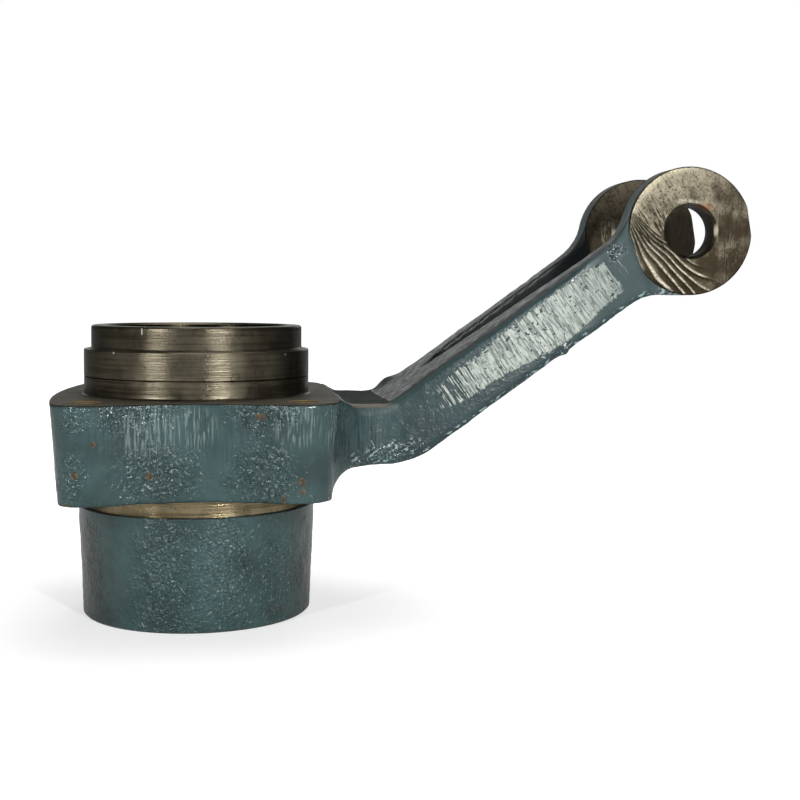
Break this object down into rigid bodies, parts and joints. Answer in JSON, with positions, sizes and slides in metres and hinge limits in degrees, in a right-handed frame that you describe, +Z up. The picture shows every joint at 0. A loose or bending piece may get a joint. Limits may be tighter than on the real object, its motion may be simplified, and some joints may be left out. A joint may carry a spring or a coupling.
{
  "type": "bearing support",
  "caption": "Cast bearing support: a bored hub with a bolting flange and a turned spigot, and a cranked arm ending in a forked eye for a pin.",
  "frame": {"origin": "on the hub's axis, at the plane of the sleeve's lower rim on which the part stands", "axes": "+Z up the hub's axis, towards the spigot; +X towards the fork; Y along the fork's pin"},
  "size_m": [0.3424, 0.1536, 0.2237],
  "materials": {
    "support_casting": "blue-grey enamel over rough casting, bare where machined"
  },
  "bodies": {
    "root": {"support_casting": "support_casting"}
  },
  "joints": []
}
